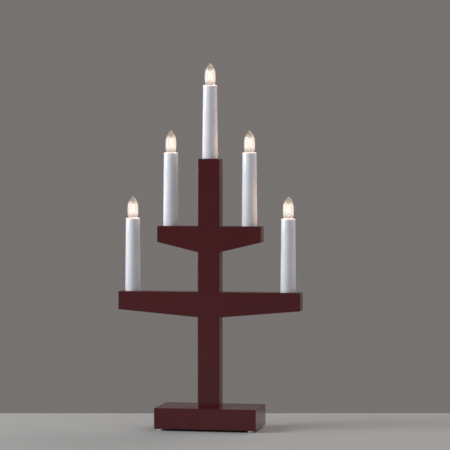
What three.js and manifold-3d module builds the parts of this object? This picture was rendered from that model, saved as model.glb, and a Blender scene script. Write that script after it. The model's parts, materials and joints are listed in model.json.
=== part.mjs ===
// An electric advent candlestick: a painted post with two cross arms on a block base,
// and five candle tubes that each carry a small screw lamp.
// Millimetres, +Z up, front towards -Y, origin on the table under the middle of the base.
import * as THREE from 'three';
import { mergeVertices } from 'three/addons/utils/BufferGeometryUtils.js';
import Module from 'manifold-3d';

const wasm = await Module();
wasm.setup();

// Boards of the post and the arms
const boardDepth = 26;
const edgeRound = 1;
const postWidth = 32;
const postTop = 388.8;
const upperArmSpan = 152;
const upperArmTop = 292.3;
const upperArmRoot = 37.4;
const upperArmEnd = 23;
const lowerArmSpan = 266;
const lowerArmTop = 197.8;
const lowerArmRoot = 36.4;
const lowerArmEnd = 26.2;
const glueLine = 0.1;
const cutPast = 1;

// Base block, its chamber and its feet
const baseWidth = 148;
const baseDepth = 83;
const baseHeight = 30;
const baseCornerRound = 1.5;
const chamberWidth = 90;
const chamberDepth = 56;
const chamberCeiling = 16.8;
const baseCoverThickness = 3;
const baseCoverLedge = 7;
const footHeight = 2.8;
const footTopRadius = 4.75;
const footBottomRadius = 3.3;
const footBulge = 0.35;
const footBulgeHeight = 1.1;
const footSideInset = 8.5;
const footFrontInset = 6.5;

// Wiring channel in the back of the boards, and the strip that closes it
const channelWidth = 10;
const channelDepth = 9;
const channelBelowTop = 15;
const backCoverThickness = 2.5;
const backCoverLedge = 2.5;
const fitGap = 0.3;

// Candle tubes
const tubeLength = 105.5;
const tubeFootRadius = 11.2;
const tubeRimRadius = 10.15;
const tubeWall = 1.3;
const tubeFloor = 2;
const rimThickness = 1.6;
const rimHoleRadius = 7.3;
const rimRound = 0.95;
const spigotRadius = 6.7;
const spigotBoreRadius = 5;
const spigotLength = 8;
const candleBoreDepth = 20;
const upperCandleInset = 18.5;
const lowerCandleInset = 19.2;

// Screw lamps, measured from the rim of the tube
const glassHeight = 31;
const glassRadius = 7.8;
const glassWall = 0.6;
const glassNeckRadius = 4;
const glassNeckEnd = 6.5;
const capRadius = 4.75;
const capWall = 0.4;
const capTop = 3;
const capLength = 10.4;
const insulatorHeight = 1.2;
const insulatorRadius = 2.7;
const contactBoreRadius = 1.9;
const lampContactRadius = 2.2;
const lampContactHeight = 1;
const lampContactTip = 1.3;
const lampContactShank = 2;
const capLip = 0.15;
const capLipHeight = 0.5;
const stemTopHeight = 5;
const stemRadius = 1.9;
const filamentHeight = 20;
const filamentHalfSpan = 2.5;
const filamentWireRadius = 0.3;

// Lampholders
const threadGap = 0.3;
const shellWall = 0.4;
const shellLength = 10;
const holderSkirt = 7.4;
const holderFloor = 2;
const springHeight = 1.2;
const springRadius = 3.4;
const springDomeRadius = 1.4;
const springDomeDrop = 0.1;
const rivetRadius = 1.2;
const rivetHeadRadius = 2.4;
const rivetHeadHeight = 1;
const holderWall = 1.5;
const tagWidth = 2.4;
const tagLength = 7;

// Wires, terminal block, bush and screws
const wireRadius = 0.8;
const wireLane = 2.5;
const wireSpread = 2.2;
const wireBend = 3;
const wireInTerminal = 4;
const terminalWidth = 16;
const terminalLength = 14;
const terminalHeight = 8.8;
const terminalPitch = 8;
const terminalBoreRadius = 1.6;
const terminalSlot = 1.6;
const terminalY = 20;
const bushRadius = 5;
const bushBoreRadius = 3.3;
const bushFlangeRadius = 6.6;
const bushFlangeThickness = 1.5;
const bushFlangeEase = 0.4;
const screwX = 9;
const screwY = -5;
const screwShankRadius = 2;
const screwHeadRadius = 4;
const screwHeadHeight = 2.6;
const screwHeadCrown = 1;
const screwHeadTopRadius = 2.4;
const screwPoint = 4;
const screwGrip = 24;

// Faces round the turned pieces, and steps along the curved ones
const tubeSides = 20;
const lampSides = 16;
const holderSides = 12;
const smallSides = 10;
const wireSides = 5;
const leadSides = 4;
const bendSteps = 2;
const glassSteps = 11;
const innerGlassSteps = 5;

// Levels and places that follow from the sizes above
const baseTop = footHeight + baseHeight;
const baseUnderside = footHeight;
const chamberFloor = baseUnderside + baseCoverThickness;
const boardBack = boardDepth / 2;
const upperCandleX = upperArmSpan / 2 - upperCandleInset;
const lowerCandleX = lowerArmSpan / 2 - lowerCandleInset;
const channelFront = boardBack - channelDepth;
const wireY = (channelFront + boardBack - backCoverThickness) / 2;
const leadZ = (chamberFloor + chamberCeiling) / 2;
const capEnd = capTop + capLength;
const shellTop = capTop + 1;
const shellEnd = shellTop + shellLength;
const shellInnerRadius = capRadius + threadGap;
const shellOuterRadius = shellInnerRadius + shellWall;
const lampContactEnd = capEnd + fitGap + lampContactHeight;
const springTop = lampContactEnd + fitGap;
const holderFloorTop = springTop + springHeight + fitGap;
const holderFloorEnd = holderFloorTop + holderFloor;
const rivetEnd = holderFloorEnd + fitGap + rivetHeadHeight;

const candles = [
  { place: 'lower_left', x: -lowerCandleX, foot: lowerArmTop },
  { place: 'upper_left', x: -upperCandleX, foot: upperArmTop },
  { place: 'top', x: 0, foot: postTop },
  { place: 'upper_right', x: upperCandleX, foot: upperArmTop },
  { place: 'lower_right', x: lowerCandleX, foot: lowerArmTop },
];

const paint = { color: 0x45201f, roughness: 0.45, metalness: 0 };
const whitePlastic = { color: 0xf0eee9, roughness: 0.25, metalness: 0 };
const clearGlass = { color: 0xfff4dc, roughness: 0.05, metalness: 0 };
const nickel = { color: 0xb9b4a6, roughness: 0.35, metalness: 1 };
const brass = { color: 0xb8923f, roughness: 0.35, metalness: 1 };
const steel = { color: 0x9a9a98, roughness: 0.4, metalness: 1 };
const clearRubber = { color: 0xd8dad6, roughness: 0.3, metalness: 0 };
const blackRubber = { color: 0x1b1b1b, roughness: 0.7, metalness: 0 };
const holderPlastic = { color: 0xe4e0d6, roughness: 0.5, metalness: 0 };
const wirePlastic = { color: 0xd9d9d6, roughness: 0.5, metalness: 0 };
const hardboard = { color: 0x4a2420, roughness: 0.7, metalness: 0 };

// Turns a closed geometry into a solid that can be cut and joined.
function solidOf(geometry) {
  const bare = geometry.clone();
  bare.deleteAttribute('normal');
  bare.deleteAttribute('uv');
  const merged = mergeVertices(bare);
  return new wasm.Manifold(new wasm.Mesh({
    numProp: 3,
    vertProperties: new Float32Array(merged.attributes.position.array),
    triVerts: new Uint32Array(merged.index.array),
  }));
}

function geometryOf(solid) {
  const mesh = solid.getMesh();
  const geometry = new THREE.BufferGeometry();
  geometry.setAttribute('position', new THREE.BufferAttribute(mesh.vertProperties, 3));
  geometry.setIndex(new THREE.BufferAttribute(mesh.triVerts, 1));
  return geometry;
}

function cut(geometry, ...tools) {
  const solid = tools.reduce((rest, tool) => rest.subtract(solidOf(tool)), solidOf(geometry));
  return geometryOf(solid);
}

function join(geometry, ...others) {
  const solid = others.reduce((sum, other) => sum.add(solidOf(other)), solidOf(geometry));
  return geometryOf(solid);
}

function piece(name, geometry, finish) {
  const mesh = new THREE.Mesh(geometry, new THREE.MeshStandardMaterial(finish));
  mesh.name = name;
  return mesh;
}

// A box between two corners.
function block(low, high) {
  const size = high.map((value, axis) => value - low[axis]);
  const middle = high.map((value, axis) => (value + low[axis]) / 2);
  return new THREE.BoxGeometry(...size).translate(...middle);
}

// A turned solid about Z. The profile is a list of [radius, height], outer side going up.
function turned(profile, sides) {
  const points = profile.map(([radius, height]) => new THREE.Vector2(radius, height));
  return new THREE.LatheGeometry(points, sides).rotateX(Math.PI / 2);
}

function ring(profile, sides) {
  return turned([...profile, profile[0]], sides);
}

function rod(radius, low, high, sides) {
  return turned([[0, low], [radius, low], [radius, high], [0, high]], sides);
}

// An outline with its corners eased by a small radius.
function easedOutline(corners, radius) {
  const shape = new THREE.Shape();
  corners.forEach((corner, index) => {
    const before = corners[(index + corners.length - 1) % corners.length];
    const after = corners[(index + 1) % corners.length];
    const start = corner.clone().add(before.clone().sub(corner).setLength(radius));
    const end = corner.clone().add(after.clone().sub(corner).setLength(radius));
    if (index === 0) {
      shape.moveTo(start.x, start.y);
    } else {
      shape.lineTo(start.x, start.y);
    }
    shape.quadraticCurveTo(corner.x, corner.y, end.x, end.y);
  });
  shape.closePath();
  return shape;
}

// A board seen from the front, sawn from its outline with eased front and back edges.
function board(corners, depth) {
  const outline = easedOutline(corners.map(([x, z]) => new THREE.Vector2(x, z)), edgeRound);
  const sawn = new THREE.ExtrudeGeometry(outline, {
    depth: depth - 2 * edgeRound,
    bevelThickness: edgeRound,
    bevelSize: edgeRound,
    bevelOffset: -edgeRound,
    bevelSegments: 2,
    curveSegments: 2,
  });
  return sawn.rotateX(Math.PI / 2).translate(0, depth / 2 - edgeRound, 0);
}

// The outline shared by the wiring channel, the rebate and the strip that closes it:
// an upright with two cross bars. Grow widens it all round.
function doubleCross(width, barReach, grow, front, back) {
  const half = width / 2 + grow;
  const top = postTop - channelBelowTop + half;
  const bars = [
    { z: lowerArmTop - channelBelowTop, reach: lowerCandleX + barReach + grow },
    { z: upperArmTop - channelBelowTop, reach: upperCandleX + barReach + grow },
  ];
  const rightSide = bars.flatMap(({ z, reach }) => [
    [half, z - half], [reach, z - half], [reach, z + half], [half, z + half],
  ]);
  const right = [[half, baseTop + glueLine - grow], ...rightSide, [half, top]];
  const left = right.map(([x, z]) => [-x, z]).reverse();
  const outline = [...right, ...left].map(([x, z]) => new THREE.Vector2(x, z));
  const sheet = new THREE.ExtrudeGeometry(new THREE.Shape(outline), {
    depth: back - front,
    bevelEnabled: false,
  });
  return sheet.rotateX(Math.PI / 2).translate(0, back, 0);
}

function backCuts() {
  const outside = boardBack + cutPast;
  const channel = doubleCross(channelWidth, channelWidth / 2, 0, channelFront, outside);
  const coverWidth = channelWidth + 2 * backCoverLedge;
  const rebateFront = boardBack - backCoverThickness - glueLine;
  const rebate = doubleCross(coverWidth, coverWidth / 2, fitGap, rebateFront, outside);
  return [channel, rebate];
}

function candleBore(x, top) {
  const bore = rod(spigotRadius + fitGap, top - candleBoreDepth, top + cutPast, lampSides);
  return bore.translate(x, 0, 0);
}

// The part of an arm that fills the notch in the front half of the post.
function lapBlock(top, root) {
  const half = postWidth / 2;
  return block([-half, -boardBack, top - root], [half, 0, top]);
}

// An arm is flat on top and thins towards its ends. Its back half is cut away at the post.
function arm(name, span, top, root, end, candleX) {
  const half = postWidth / 2;
  const corners = [
    [-span / 2, top], [-span / 2, top - end], [-half, top - root],
    [half, top - root], [span / 2, top - end], [span / 2, top],
  ];
  const notch = half + glueLine;
  const backHalf = block(
    [-notch, -glueLine, top - root - cutPast],
    [notch, boardBack + cutPast, top + cutPast],
  );
  const whole = join(board(corners, boardDepth), lapBlock(top, root));
  const bores = [candleBore(-candleX, top), candleBore(candleX, top)];
  return piece(name, cut(whole, backHalf, ...backCuts(), ...bores), paint);
}

// The post's foot is sawn off square, past the eased edges, because it stands flat on the base.
function post() {
  const half = postWidth / 2;
  const low = baseTop + glueLine;
  const rough = low - 2 * edgeRound;
  const outline = [[-half, postTop], [-half, rough], [half, rough], [half, postTop]];
  const whole = board(outline, boardDepth);
  const waste = block(
    [-half - cutPast, -boardBack - cutPast, rough - cutPast],
    [half + cutPast, boardBack + cutPast, low],
  );
  const notches = [[lowerArmTop, lowerArmRoot], [upperArmTop, upperArmRoot]].map(
    ([top, root]) => block(
      [-half - cutPast, -boardBack - cutPast, top - root - glueLine],
      [half + cutPast, 0, top + glueLine],
    ),
  );
  const pilots = [-screwX, screwX].map((x) => {
    const deep = baseTop + screwGrip + fitGap;
    const pilot = rod(screwShankRadius + fitGap, low - cutPast, deep, smallSides);
    return pilot.translate(x, screwY, 0);
  });
  return piece(
    'post',
    cut(whole, waste, ...notches, ...backCuts(), candleBore(0, postTop), ...pilots),
    paint,
  );
}

function backCover() {
  const coverWidth = channelWidth + 2 * backCoverLedge;
  const front = boardBack - backCoverThickness;
  return piece('back_cover', doubleCross(coverWidth, coverWidth / 2, 0, front, boardBack), paint);
}

// The base block: wiring chamber below, a rebate for its cover, and the holes it needs.
function baseBlock() {
  const halfWidth = baseWidth / 2;
  const halfDepth = baseDepth / 2;
  const plan = easedOutline([
    new THREE.Vector2(-halfWidth, -halfDepth), new THREE.Vector2(halfWidth, -halfDepth),
    new THREE.Vector2(halfWidth, halfDepth), new THREE.Vector2(-halfWidth, halfDepth),
  ], baseCornerRound);
  const whole = new THREE.ExtrudeGeometry(plan, {
    depth: baseHeight - 2 * edgeRound,
    bevelThickness: edgeRound,
    bevelSize: edgeRound,
    bevelOffset: -edgeRound,
    bevelSegments: 2,
    curveSegments: 3,
  }).translate(0, 0, baseUnderside + edgeRound);
  const chamber = block(
    [-chamberWidth / 2, -chamberDepth / 2, baseUnderside - cutPast],
    [chamberWidth / 2, chamberDepth / 2, chamberCeiling],
  );
  const [coverX, coverY] = baseCoverHalfSizes();
  const rebate = block(
    [-coverX - fitGap, -coverY - fitGap, baseUnderside - cutPast],
    [coverX + fitGap, coverY + fitGap, chamberFloor],
  );
  const wireHole = block(
    [-channelWidth / 2, channelFront, chamberCeiling - cutPast],
    [channelWidth / 2, boardBack - backCoverThickness, baseTop + cutPast],
  );
  const screwHoles = [-screwX, screwX].map((x) => {
    const low = chamberCeiling - cutPast;
    const hole = rod(screwShankRadius + fitGap, low, baseTop + cutPast, smallSides);
    return hole.translate(x, screwY, 0);
  });
  const outside = halfDepth + cutPast;
  const bushHole = alongDepth(rod(
    bushRadius + fitGap, chamberDepth / 2 - cutPast, outside, lampSides,
  ));
  const flangeSeat = alongDepth(rod(
    bushFlangeRadius + fitGap, halfDepth - bushFlangeThickness - fitGap, outside, lampSides,
  ));
  return piece(
    'base_block',
    cut(whole, chamber, rebate, wireHole, ...screwHoles, bushHole, flangeSeat),
    paint,
  );
}

function baseCoverHalfSizes() {
  return [chamberWidth / 2 + baseCoverLedge, chamberDepth / 2 + baseCoverLedge];
}

function baseCover() {
  const [x, y] = baseCoverHalfSizes();
  const plate = block([-x, -y, baseUnderside], [x, y, chamberFloor - glueLine]);
  return piece('base_cover', plate, hardboard);
}

function foot(name, x, y) {
  const bumper = turned([
    [0, 0], [footBottomRadius, 0],
    [(footBottomRadius + footTopRadius) / 2 + footBulge, footBulgeHeight],
    [footTopRadius, footHeight], [0, footHeight],
  ], smallSides);
  return piece(name, bumper.translate(x, y, 0), clearRubber);
}

function feet() {
  const x = baseWidth / 2 - footSideInset;
  const y = baseDepth / 2 - footFrontInset;
  return [
    foot('foot_front_left', -x, -y), foot('foot_front_right', x, -y),
    foot('foot_back_left', -x, y), foot('foot_back_right', x, y),
  ];
}

function postScrew(name, x) {
  const headTop = chamberCeiling - glueLine;
  const headLow = headTop - screwHeadHeight;
  const tip = baseTop + screwGrip;
  const screw = turned([
    [0, headLow], [screwHeadTopRadius, headLow], [screwHeadRadius, headLow + screwHeadCrown],
    [screwHeadRadius, headTop], [screwShankRadius, headTop],
    [screwShankRadius, tip - screwPoint], [0, tip],
  ], smallSides);
  return piece(name, screw.translate(x, screwY, 0), steel);
}

// Lays a solid turned about Z down along +Y, at the height of the cord hole.
function alongDepth(geometry) {
  return geometry.rotateX(-Math.PI / 2).translate(0, 0, leadZ);
}

function cableBush() {
  const inner = chamberDepth / 2;
  const back = baseDepth / 2;
  const bush = ring([
    [bushBoreRadius, inner], [bushRadius, inner],
    [bushRadius, back - bushFlangeThickness], [bushFlangeRadius, back - bushFlangeThickness],
    [bushFlangeRadius, back - bushFlangeEase], [bushFlangeRadius - bushFlangeEase, back],
    [bushBoreRadius, back],
  ], lampSides);
  return piece('cable_bush', alongDepth(bush), blackRubber);
}

function terminalBlock() {
  const top = chamberCeiling - glueLine;
  const half = terminalLength / 2;
  const body = block(
    [-terminalWidth / 2, terminalY - half, top - terminalHeight],
    [terminalWidth / 2, terminalY + half, top],
  );
  const waist = block(
    [-terminalSlot / 2, terminalY - half - cutPast, top - terminalHeight - cutPast],
    [terminalSlot / 2, terminalY + half + cutPast, top - terminalHeight / 3],
  );
  const bores = [-terminalPitch / 2, terminalPitch / 2].map((x) => {
    const ends = [terminalY - half - cutPast, terminalY + half + cutPast];
    return alongDepth(rod(terminalBoreRadius, ...ends, smallSides)).translate(x, 0, 0);
  });
  return piece('terminal_block', cut(body, waist, ...bores), holderPlastic);
}

// A tapered white sleeve with a spigot that stands in the board and a rim for the lamp.
function candleTube(place) {
  const wallAtRim = tubeRimRadius - tubeWall;
  const wallAtFoot = tubeFootRadius - tubeWall;
  const tube = ring([
    [spigotBoreRadius, -spigotLength], [spigotRadius, -spigotLength], [spigotRadius, 0],
    [tubeFootRadius, 0], [tubeRimRadius, tubeLength - rimRound],
    [tubeRimRadius - rimRound * 0.3, tubeLength - rimRound * 0.3],
    [tubeRimRadius - rimRound, tubeLength],
    [rimHoleRadius, tubeLength], [rimHoleRadius, tubeLength - rimThickness],
    [wallAtRim, tubeLength - rimThickness], [wallAtFoot, tubeFloor],
    [spigotBoreRadius, tubeFloor],
  ], tubeSides);
  return piece(`candle_tube_${place}`, tube, whitePlastic);
}

// The plastic body of a lampholder, with a slot in its floor for the tag of the shell.
function lampholder(place) {
  const outer = tubeRimRadius - tubeWall - fitGap;
  const bore = shellOuterRadius + fitGap;
  const shelf = shellEnd + fitGap;
  const low = holderFloorEnd + holderSkirt;
  const hole = rivetRadius + fitGap;
  const body = ring([
    [hole, -holderFloorEnd], [outer - holderWall, -holderFloorEnd], [outer - holderWall, -low],
    [outer, -low], [outer, -rimThickness - fitGap],
    [outer - holderWall, -rimThickness - fitGap],
    [bore, -shellTop], [bore, -shelf], [springRadius + fitGap, -shelf],
    [springRadius + fitGap, -holderFloorTop], [hole, -holderFloorTop],
  ], holderSides);
  const slot = block(
    [shellInnerRadius - 2 * fitGap, -tagWidth / 2 - fitGap, -holderFloorEnd - cutPast],
    [shellOuterRadius + fitGap, tagWidth / 2 + fitGap, -shellEnd],
  );
  return piece(`lampholder_${place}`, cut(body, slot), holderPlastic);
}

function screwShell(place) {
  const shell = ring([
    [shellInnerRadius, -shellEnd], [shellOuterRadius, -shellEnd],
    [shellOuterRadius, -shellTop], [shellInnerRadius, -shellTop],
  ], holderSides);
  const tag = block(
    [shellInnerRadius - fitGap, -tagWidth / 2, -shellEnd - tagLength],
    [shellInnerRadius + fitGap, tagWidth / 2, -shellEnd + tagWidth / 2],
  );
  return piece(`screw_shell_${place}`, join(shell, tag), brass);
}

// The sprung centre contact, riveted through the floor of the lampholder.
function centreContact(place) {
  const springFoot = springTop + springHeight;
  const contact = turned([
    [0, -rivetEnd], [rivetHeadRadius, -rivetEnd],
    [rivetHeadRadius, -rivetEnd + rivetHeadHeight],
    [rivetRadius, -rivetEnd + rivetHeadHeight], [rivetRadius, -springFoot],
    [springRadius, -springFoot], [springDomeRadius, -springTop - springDomeDrop],
    [0, -springTop],
  ], smallSides);
  return piece(`centre_contact_${place}`, contact, brass);
}

function lampContact(place) {
  const shank = contactBoreRadius - fitGap;
  const seat = capEnd + fitGap;
  const contact = turned([
    [0, -lampContactEnd], [lampContactTip, -lampContactEnd],
    [lampContactRadius, -seat - lampContactHeight / 3], [lampContactRadius, -seat],
    [shank, -seat], [shank, -capEnd + lampContactShank], [0, -capEnd + lampContactShank],
  ], smallSides);
  return piece(`lamp_contact_${place}`, contact, nickel);
}

// The screw cap: a thin shell with a crimped lip and a cone of insulator round the contact.
function lampCap(place) {
  const inner = capRadius - capWall;
  const floor = capEnd - insulatorHeight;
  const cap = ring([
    [contactBoreRadius, -capEnd], [insulatorRadius, -capEnd], [capRadius, -floor],
    [capRadius, -capTop - capLipHeight], [capRadius + capLip, -capTop], [inner, -capTop],
    [inner, -floor], [contactBoreRadius, -floor],
  ], holderSides);
  return piece(`lamp_cap_${place}`, cap, nickel);
}

// The outer line of the lamp's glass: a straight neck in the cap, then the curve to the tip.
function glassLine(count) {
  const spline = new THREE.SplineCurve([
    [glassNeckRadius, -capTop + fitGap],
    [0.80 * glassRadius, -0.012 * glassHeight],
    [0.93 * glassRadius, 0.12 * glassHeight],
    [glassRadius, 0.40 * glassHeight],
    [0.90 * glassRadius, 0.60 * glassHeight],
    [0.50 * glassRadius, 0.83 * glassHeight],
    [0.13 * glassRadius, 0.95 * glassHeight],
    [0, glassHeight],
  ].map(([radius, height]) => new THREE.Vector2(radius, height)));
  return [new THREE.Vector2(glassNeckRadius, -glassNeckEnd), ...spline.getPoints(count - 1)];
}

// The same line moved inwards by the thickness of the glass, as far as the axis.
function innerGlassLine(count) {
  const line = glassLine(count);
  return line.map((point, index) => {
    const before = line[Math.max(index - 1, 0)];
    const after = line[Math.min(index + 1, count)];
    const along = after.clone().sub(before).normalize();
    return new THREE.Vector2(point.x - glassWall * along.y, point.y + glassWall * along.x);
  }).filter((point) => point.x > glassWall / 2);
}

function lampGlass(place) {
  const outer = glassLine(glassSteps);
  const inner = innerGlassLine(innerGlassSteps).reverse();
  const profile = [
    [0, inner[0].y + glassWall / 2],
    ...inner.map((point) => [point.x, point.y]),
    ...outer.slice(0, -1).map((point) => [point.x, point.y]),
    [0, glassHeight],
  ];
  return piece(`lamp_glass_${place}`, turned(profile, lampSides), clearGlass);
}

// A route through corner points with rounded bends, sampled only where it turns.
class BentRoute extends THREE.Curve {
  constructor(corners, bend) {
    super();
    this.stations = [corners[0]];
    for (let index = 1; index < corners.length - 1; index += 1) {
      const corner = corners[index];
      const back = corners[index - 1].clone().sub(corner);
      const ahead = corners[index + 1].clone().sub(corner);
      const reach = Math.min(bend, back.length() / 2.2, ahead.length() / 2.2);
      const bendCurve = new THREE.QuadraticBezierCurve3(
        corner.clone().add(back.setLength(reach)),
        corner,
        corner.clone().add(ahead.setLength(reach)),
      );
      this.stations.push(...bendCurve.getPoints(bendSteps));
    }
    this.stations.push(corners[corners.length - 1]);
  }

  getPoint(share) {
    const spot = share * (this.stations.length - 1);
    const index = Math.min(Math.floor(spot + 1e-9), this.stations.length - 2);
    return this.stations[index].clone().lerp(this.stations[index + 1], spot - index);
  }

  getPointAt(share) {
    return this.getPoint(share);
  }

  getTangentAt(share) {
    const index = Math.round(share * (this.stations.length - 1));
    const before = this.stations[Math.max(index - 1, 0)];
    const after = this.stations[Math.min(index + 1, this.stations.length - 1)];
    return after.clone().sub(before).normalize();
  }
}

function wireAlong(corners, radius, bend, sides) {
  const points = corners.map(([x, y, z]) => new THREE.Vector3(x, y, z));
  const route = new BentRoute(points, bend);
  const section = Array.from({ length: sides }, (_, side) => {
    const angle = (2 * Math.PI * side) / sides;
    return new THREE.Vector2(radius * Math.cos(angle), radius * Math.sin(angle));
  });
  return new THREE.ExtrudeGeometry(new THREE.Shape(section), {
    steps: route.stations.length - 1,
    extrudePath: route,
  });
}

// The mount inside a lamp: a glass stem that carries the leads and the filament between them.
function lampMount(place) {
  const stem = turned([
    [0, -glassNeckEnd], [glassNeckRadius - glassWall - fitGap, -glassNeckEnd],
    [stemRadius * 0.8, -1], [stemRadius, stemTopHeight - 1.5],
    [stemRadius * 0.8, stemTopHeight - 0.4], [0, stemTopHeight],
  ], smallSides);
  const foot = stemRadius / 2;
  const shoulder = stemTopHeight + 3;
  const leads = wireAlong([
    [-foot, 0, stemTopHeight - 3], [-foot, 0, stemTopHeight],
    [-filamentHalfSpan, 0, shoulder], [-filamentHalfSpan, 0, filamentHeight],
    [filamentHalfSpan, 0, filamentHeight], [filamentHalfSpan, 0, shoulder],
    [foot, 0, stemTopHeight], [foot, 0, stemTopHeight - 3],
  ], filamentWireRadius, filamentHalfSpan, leadSides);
  return piece(`lamp_mount_${place}`, join(stem, leads), steel);
}

// The way from a lampholder terminal down through the tube to the board, then to the channel.
function dropFrom(candle, terminalX, terminalDepth, side) {
  const rim = candle.foot + tubeLength;
  const laneX = candle.x + side * wireSpread;
  const start = rim - terminalDepth - fitGap;
  return [
    [candle.x + terminalX, 0, start],
    [candle.x + terminalX, 0, start - wireBend],
    [laneX, 0, start - 4 * wireBend],
    [laneX, 0, candle.foot - spigotLength / 2],
  ];
}

// A wire leaves the centre contact on the left of the tube, and the shell's tag on the right.
function dropFromCentre(candle) {
  return dropFrom(candle, 0, rivetEnd, -1);
}

function dropFromTag(candle) {
  const tagX = (shellInnerRadius + shellOuterRadius - fitGap) / 2;
  return dropFrom(candle, tagX, shellEnd + tagLength, 1);
}

// Along the channel of an arm, from under the candle to the channel of the post.
function alongArm(candle, side, lane) {
  const z = candle.foot - channelBelowTop + lane * wireLane;
  const laneX = candle.x + side * wireSpread;
  const postX = Math.sign(candle.x) * wireLane;
  return [[laneX, wireY, z], [postX, wireY, z]];
}

function topDrop(side) {
  const z = postTop - candleBoreDepth + spigotLength / 2;
  return [[side * wireLane, wireY, z - wireBend]];
}

function leadIntoTerminal(side) {
  const entryX = side * terminalPitch / 2;
  const entryY = terminalY - terminalLength / 2;
  return [
    [side * wireLane, wireY, chamberCeiling + wireBend],
    [side * wireLane, wireY, leadZ + wireBend],
    [entryX, entryY - wireBend / 2, leadZ],
    [entryX, entryY + wireInTerminal, leadZ],
  ];
}

function wire(name, corners) {
  return piece(name, wireAlong(corners, wireRadius, wireBend, wireSides), wirePlastic);
}

function wires() {
  const [lowerLeft, upperLeft, top, upperRight, lowerRight] = candles;
  return [
    wire('wire_supply', [
      ...dropFromCentre(lowerLeft), ...alongArm(lowerLeft, -1, -1), ...leadIntoTerminal(-1),
    ]),
    wire('wire_left_link', [
      ...dropFromTag(lowerLeft), ...alongArm(lowerLeft, 1, 1),
      ...alongArm(upperLeft, -1, -1).reverse(), ...dropFromCentre(upperLeft).reverse(),
    ]),
    wire('wire_upper_left', [
      ...dropFromTag(upperLeft), ...alongArm(upperLeft, 1, 1), ...topDrop(-1),
      ...dropFromCentre(top).reverse(),
    ]),
    wire('wire_upper_right', [
      ...dropFromTag(top), ...topDrop(1), ...alongArm(upperRight, -1, 1).reverse(),
      ...dropFromCentre(upperRight).reverse(),
    ]),
    wire('wire_right_link', [
      ...dropFromTag(upperRight), ...alongArm(upperRight, 1, -1),
      ...alongArm(lowerRight, -1, 1).reverse(), ...dropFromCentre(lowerRight).reverse(),
    ]),
    wire('wire_return', [
      ...dropFromTag(lowerRight), ...alongArm(lowerRight, 1, -1), ...leadIntoTerminal(1),
    ]),
  ];
}

// Everything that stands on one candle's place: the tube, its lampholder and the lamp.
function candleGroup({ place, x, foot: footZ }) {
  const tube = candleTube(place);
  const inRim = new THREE.Group();
  inRim.position.z = tubeLength;
  inRim.add(
    lampholder(place), screwShell(place), centreContact(place),
    lampContact(place), lampCap(place), lampGlass(place), lampMount(place),
  );
  const group = new THREE.Group();
  group.position.set(x, 0, footZ);
  group.add(tube, inRim);
  return group;
}

const candlestick = new THREE.Group();
candlestick.name = 'advent_candlestick';
candlestick.add(
  baseBlock(), baseCover(), ...feet(),
  postScrew('post_screw_left', -screwX), postScrew('post_screw_right', screwX),
  cableBush(), terminalBlock(),
  post(),
  arm('upper_arm', upperArmSpan, upperArmTop, upperArmRoot, upperArmEnd, upperCandleX),
  arm('lower_arm', lowerArmSpan, lowerArmTop, lowerArmRoot, lowerArmEnd, lowerCandleX),
  backCover(),
  ...candles.map(candleGroup),
  ...wires(),
);

export default candlestick;
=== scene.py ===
"""Looks of the electric advent candlestick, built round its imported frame. Metres, +Z up."""

import json
import math

import bpy
from mathutils import Matrix, Vector


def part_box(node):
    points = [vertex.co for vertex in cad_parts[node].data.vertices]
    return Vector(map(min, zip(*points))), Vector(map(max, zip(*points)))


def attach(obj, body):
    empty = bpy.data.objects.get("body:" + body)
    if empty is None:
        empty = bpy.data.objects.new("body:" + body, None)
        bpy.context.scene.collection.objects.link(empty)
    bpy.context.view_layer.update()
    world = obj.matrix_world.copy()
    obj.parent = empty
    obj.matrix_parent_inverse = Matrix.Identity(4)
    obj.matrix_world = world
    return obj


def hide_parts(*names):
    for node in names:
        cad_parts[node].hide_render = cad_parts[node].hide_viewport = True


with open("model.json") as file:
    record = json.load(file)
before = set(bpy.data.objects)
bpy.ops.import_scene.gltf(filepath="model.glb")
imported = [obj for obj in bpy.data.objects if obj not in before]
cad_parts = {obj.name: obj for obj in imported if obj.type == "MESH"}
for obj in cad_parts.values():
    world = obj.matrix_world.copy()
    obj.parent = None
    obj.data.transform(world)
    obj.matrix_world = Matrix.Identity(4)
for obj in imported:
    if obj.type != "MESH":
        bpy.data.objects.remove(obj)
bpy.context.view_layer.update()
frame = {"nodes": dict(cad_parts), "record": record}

TAU = 2 * math.pi
MM = 0.001
PLACES = ("lower_left", "upper_left", "top", "upper_right", "lower_right")
SIDES = ((-1, "left"), (1, "right"))
FEET = ("foot_front_left", "foot_front_right", "foot_back_left", "foot_back_right")
MAIN_BODY = "candlestick"

# The photograph's camera, solved from the edges of the object. It looks slightly down.
FRAME_PX = 450
FOCAL_PX = 2361.4
SENSOR_MM = 36
CAMERA_TURN = math.radians(10.8)
CAMERA_TILT = math.radians(1.794)
CAMERA_DISTANCE = 3.392
CAMERA_SIDE = 0.0214
CAMERA_HEIGHT = 0.3999
NEAREST_SEEN = 0.1
FARTHEST_SEEN = 50

# Stage
TABLE_BEHIND = 0.20
TABLE_FRONT = 2.2
TABLE_HALF_WIDTH = 1.6
TABLE_THICKNESS = 0.03
WALL_GREY = (0.181, 0.170, 0.164)

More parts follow.
